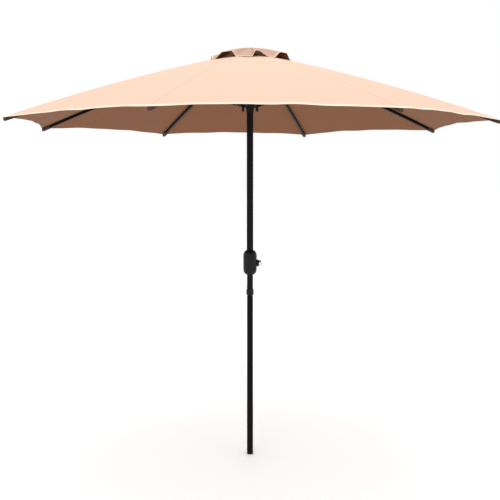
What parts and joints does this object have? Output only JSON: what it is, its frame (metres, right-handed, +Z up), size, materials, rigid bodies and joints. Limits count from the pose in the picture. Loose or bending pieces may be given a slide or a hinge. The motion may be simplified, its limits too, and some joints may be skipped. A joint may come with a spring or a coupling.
{
  "type": "patio umbrella",
  "caption": "Market umbrella with ribs and struts that fold, a vented cloth canopy, a crank lift in the pole and a lower pole that pulls off.",
  "frame": {"origin": "centre of the flat foot of the pole, which goes into a base's socket", "axes": "+Z up the pole; +X along the crank axis, from the pole to the handle"},
  "size_m": [2.5314, 2.5314, 2.332],
  "materials": {
    "pole_metal": "black powder coat, satin",
    "frame_metal": "black powder coat on steel tube, satin",
    "moulded_plastic": "black moulded plastic, soft sheen",
    "nylon": "black moulded nylon",
    "chrome": "bright plated",
    "badge": "printed badge with plain red and teal arcs",
    "steel": "zinc plated",
    "canopy_cloth": "woven polyester, peach beige above and warm brown below"
  },
  "bodies": {
    "pole": {"lower_pole": "pole_metal", "middle_pole": "pole_metal", "upper_pole": "pole_metal", "pole_end_cap": "nylon", "joint_collar": "moulded_plastic", "snap_spring": "steel", "housing_front": "moulded_plastic", "housing_rear": "moulded_plastic", "housing_screws": "steel", "brake_washers": "steel", "top_hub": "nylon", "hub_ring": "steel", "pulley_pin": "steel", "top_cap": "nylon", "vent_cap": "canopy_cloth"},
    "rib_1": {"rib_1": "frame_metal", "rib_bracket_1": "frame_metal", "canopy_panel_1": "canopy_cloth"},
    "strut_1": {"strut_1": "frame_metal"},
    "rib_2": {"rib_2": "frame_metal", "rib_bracket_2": "frame_metal", "canopy_panel_2": "canopy_cloth"},
    "strut_2": {"strut_2": "frame_metal"},
    "rib_3": {"rib_3": "frame_metal", "rib_bracket_3": "frame_metal", "canopy_panel_3": "canopy_cloth"},
    "strut_3": {"strut_3": "frame_metal"},
    "rib_4": {"rib_4": "frame_metal", "rib_bracket_4": "frame_metal", "canopy_panel_4": "canopy_cloth"},
    "strut_4": {"strut_4": "frame_metal"},
    "rib_5": {"rib_5": "frame_metal", "rib_bracket_5": "frame_metal", "canopy_panel_5": "canopy_cloth"},
    "strut_5": {"strut_5": "frame_metal"},
    "rib_6": {"rib_6": "frame_metal", "rib_bracket_6": "frame_metal", "canopy_panel_6": "canopy_cloth"},
    "strut_6": {"strut_6": "frame_metal"},
    "rib_7": {"rib_7": "frame_metal", "rib_bracket_7": "frame_metal", "canopy_panel_7": "canopy_cloth"},
    "strut_7": {"strut_7": "frame_metal"},
    "rib_8": {"rib_8": "frame_metal", "rib_bracket_8": "frame_metal", "canopy_panel_8": "canopy_cloth"},
    "strut_8": {"strut_8": "frame_metal"},
    "runner": {"runner": "nylon", "runner_ring": "steel"},
    "crank": {"crank_shaft": "steel", "crank_spool": "nylon", "crank_arm": "chrome", "crank_badge": "badge"},
    "crank_grip": {"crank_grip": "chrome"},
    "pulley": {"top_pulley": "nylon"},
    "snap_button": {"snap_button": "steel"}
  },
  "joints": [
    {"name": "canopy_fold", "type": "hinge", "parent": "pole", "child": "rib_1", "pos_m": [0.03696, 0.01531, 2.285], "axis": [-0.3827, 0.9239, 0], "range_deg": [0, 70.5], "deforming": ["canopy_panel_1", "vent_cap"]},
    {"name": "strut_1_hinge", "type": "hinge", "parent": "rib_1", "child": "strut_1", "pos_m": [0.49316, 0.20427, 2.13873], "axis": [-0.3827, 0.9239, 0], "range_deg": [-141, 0]},
    {"name": "rib_2_hinge", "type": "hinge", "parent": "pole", "child": "rib_2", "pos_m": [0.01531, 0.03696, 2.285], "axis": [-0.9239, 0.3827, 0], "range_deg": [0, 70.5], "deforming": ["canopy_panel_2"]},
    {"name": "strut_2_hinge", "type": "hinge", "parent": "rib_2", "child": "strut_2", "pos_m": [0.20427, 0.49316, 2.13873], "axis": [-0.9239, 0.3827, 0], "range_deg": [-141, 0]},
    {"name": "rib_3_hinge", "type": "hinge", "parent": "pole", "child": "rib_3", "pos_m": [-0.01531, 0.03696, 2.285], "axis": [-0.9239, -0.3827, 0], "range_deg": [0, 70.5], "deforming": ["canopy_panel_3"]},
    {"name": "strut_3_hinge", "type": "hinge", "parent": "rib_3", "child": "strut_3", "pos_m": [-0.20427, 0.49316, 2.13873], "axis": [-0.9239, -0.3827, 0], "range_deg": [-141, 0]},
    {"name": "rib_4_hinge", "type": "hinge", "parent": "pole", "child": "rib_4", "pos_m": [-0.03696, 0.01531, 2.285], "axis": [-0.3827, -0.9239, 0], "range_deg": [0, 70.5], "deforming": ["canopy_panel_4"]},
    {"name": "strut_4_hinge", "type": "hinge", "parent": "rib_4", "child": "strut_4", "pos_m": [-0.49316, 0.20427, 2.13873], "axis": [-0.3827, -0.9239, 0], "range_deg": [-141, 0]},
    {"name": "rib_5_hinge", "type": "hinge", "parent": "pole", "child": "rib_5", "pos_m": [-0.03696, -0.01531, 2.285], "axis": [0.3827, -0.9239, 0], "range_deg": [0, 70.5], "deforming": ["canopy_panel_5"]},
    {"name": "strut_5_hinge", "type": "hinge", "parent": "rib_5", "child": "strut_5", "pos_m": [-0.49316, -0.20427, 2.13873], "axis": [0.3827, -0.9239, 0], "range_deg": [-141, 0]},
    {"name": "rib_6_hinge", "type": "hinge", "parent": "pole", "child": "rib_6", "pos_m": [-0.01531, -0.03696, 2.285], "axis": [0.9239, -0.3827, 0], "range_deg": [0, 70.5], "deforming": ["canopy_panel_6"]},
    {"name": "strut_6_hinge", "type": "hinge", "parent": "rib_6", "child": "strut_6", "pos_m": [-0.20427, -0.49316, 2.13873], "axis": [0.9239, -0.3827, 0], "range_deg": [-141, 0]},
    {"name": "rib_7_hinge", "type": "hinge", "parent": "pole", "child": "rib_7", "pos_m": [0.01531, -0.03696, 2.285], "axis": [0.9239, 0.3827, 0], "range_deg": [0, 70.5], "deforming": ["canopy_panel_7"]},
    {"name": "strut_7_hinge", "type": "hinge", "parent": "rib_7", "child": "strut_7", "pos_m": [0.20427, -0.49316, 2.13873], "axis": [0.9239, 0.3827, 0], "range_deg": [-141, 0]},
    {"name": "rib_8_hinge", "type": "hinge", "parent": "pole", "child": "rib_8", "pos_m": [0.03696, -0.01531, 2.285], "axis": [0.3827, 0.9239, 0], "range_deg": [0, 70.5], "deforming": ["canopy_panel_8"]},
    {"name": "strut_8_hinge", "type": "hinge", "parent": "rib_8", "child": "strut_8", "pos_m": [0.49316, -0.20427, 2.13873], "axis": [0.3827, 0.9239, 0], "range_deg": [-141, 0]},
    {"name": "runner_hinge", "type": "hinge", "parent": "strut_1", "child": "runner", "pos_m": [0.03696, 0.01531, 1.99246], "axis": [-0.3827, 0.9239, 0], "range_deg": [0, 70.5]},
    {"name": "crank_turn", "type": "hinge", "parent": "pole", "child": "crank", "pos_m": [0.055, 0, 1.094], "axis": [1, 0, 0], "range_deg": [0, 3270]},
    {"name": "grip_spin", "type": "hinge", "parent": "crank", "child": "crank_grip", "pos_m": [0.07, 0.08964, 1.0733], "axis": [1, 0, 0], "continuous": true},
    {"name": "pulley_spin", "type": "hinge", "parent": "pole", "child": "pulley", "pos_m": [0, 0, 2.303], "axis": [0, 1, 0], "range_deg": [0, 4017]},
    {"name": "snap_button_press", "type": "slide", "parent": "pole", "child": "snap_button", "axis": [1, 0, 0], "range_m": [0, 0.0035], "stiffness_N_per_m": 3000, "springref_m": -0.002}
  ],
  "couplings": [
    {"joint": "strut_1_hinge", "follows": "canopy_fold", "ratio": -2},
    {"joint": "rib_2_hinge", "follows": "canopy_fold", "ratio": 1},
    {"joint": "strut_2_hinge", "follows": "canopy_fold", "ratio": -2},
    {"joint": "rib_3_hinge", "follows": "canopy_fold", "ratio": 1},
    {"joint": "strut_3_hinge", "follows": "canopy_fold", "ratio": -2},
    {"joint": "rib_4_hinge", "follows": "canopy_fold", "ratio": 1},
    {"joint": "strut_4_hinge", "follows": "canopy_fold", "ratio": -2},
    {"joint": "rib_5_hinge", "follows": "canopy_fold", "ratio": 1},
    {"joint": "strut_5_hinge", "follows": "canopy_fold", "ratio": -2},
    {"joint": "rib_6_hinge", "follows": "canopy_fold", "ratio": 1},
    {"joint": "strut_6_hinge", "follows": "canopy_fold", "ratio": -2},
    {"joint": "rib_7_hinge", "follows": "canopy_fold", "ratio": 1},
    {"joint": "strut_7_hinge", "follows": "canopy_fold", "ratio": -2},
    {"joint": "rib_8_hinge", "follows": "canopy_fold", "ratio": 1},
    {"joint": "strut_8_hinge", "follows": "canopy_fold", "ratio": -2},
    {"joint": "runner_hinge", "follows": "canopy_fold", "ratio": 1},
    {"joint": "crank_turn", "follows": "canopy_fold", "ratio": 46.372},
    {"joint": "pulley_spin", "follows": "canopy_fold", "ratio": 56.971}
  ]
}
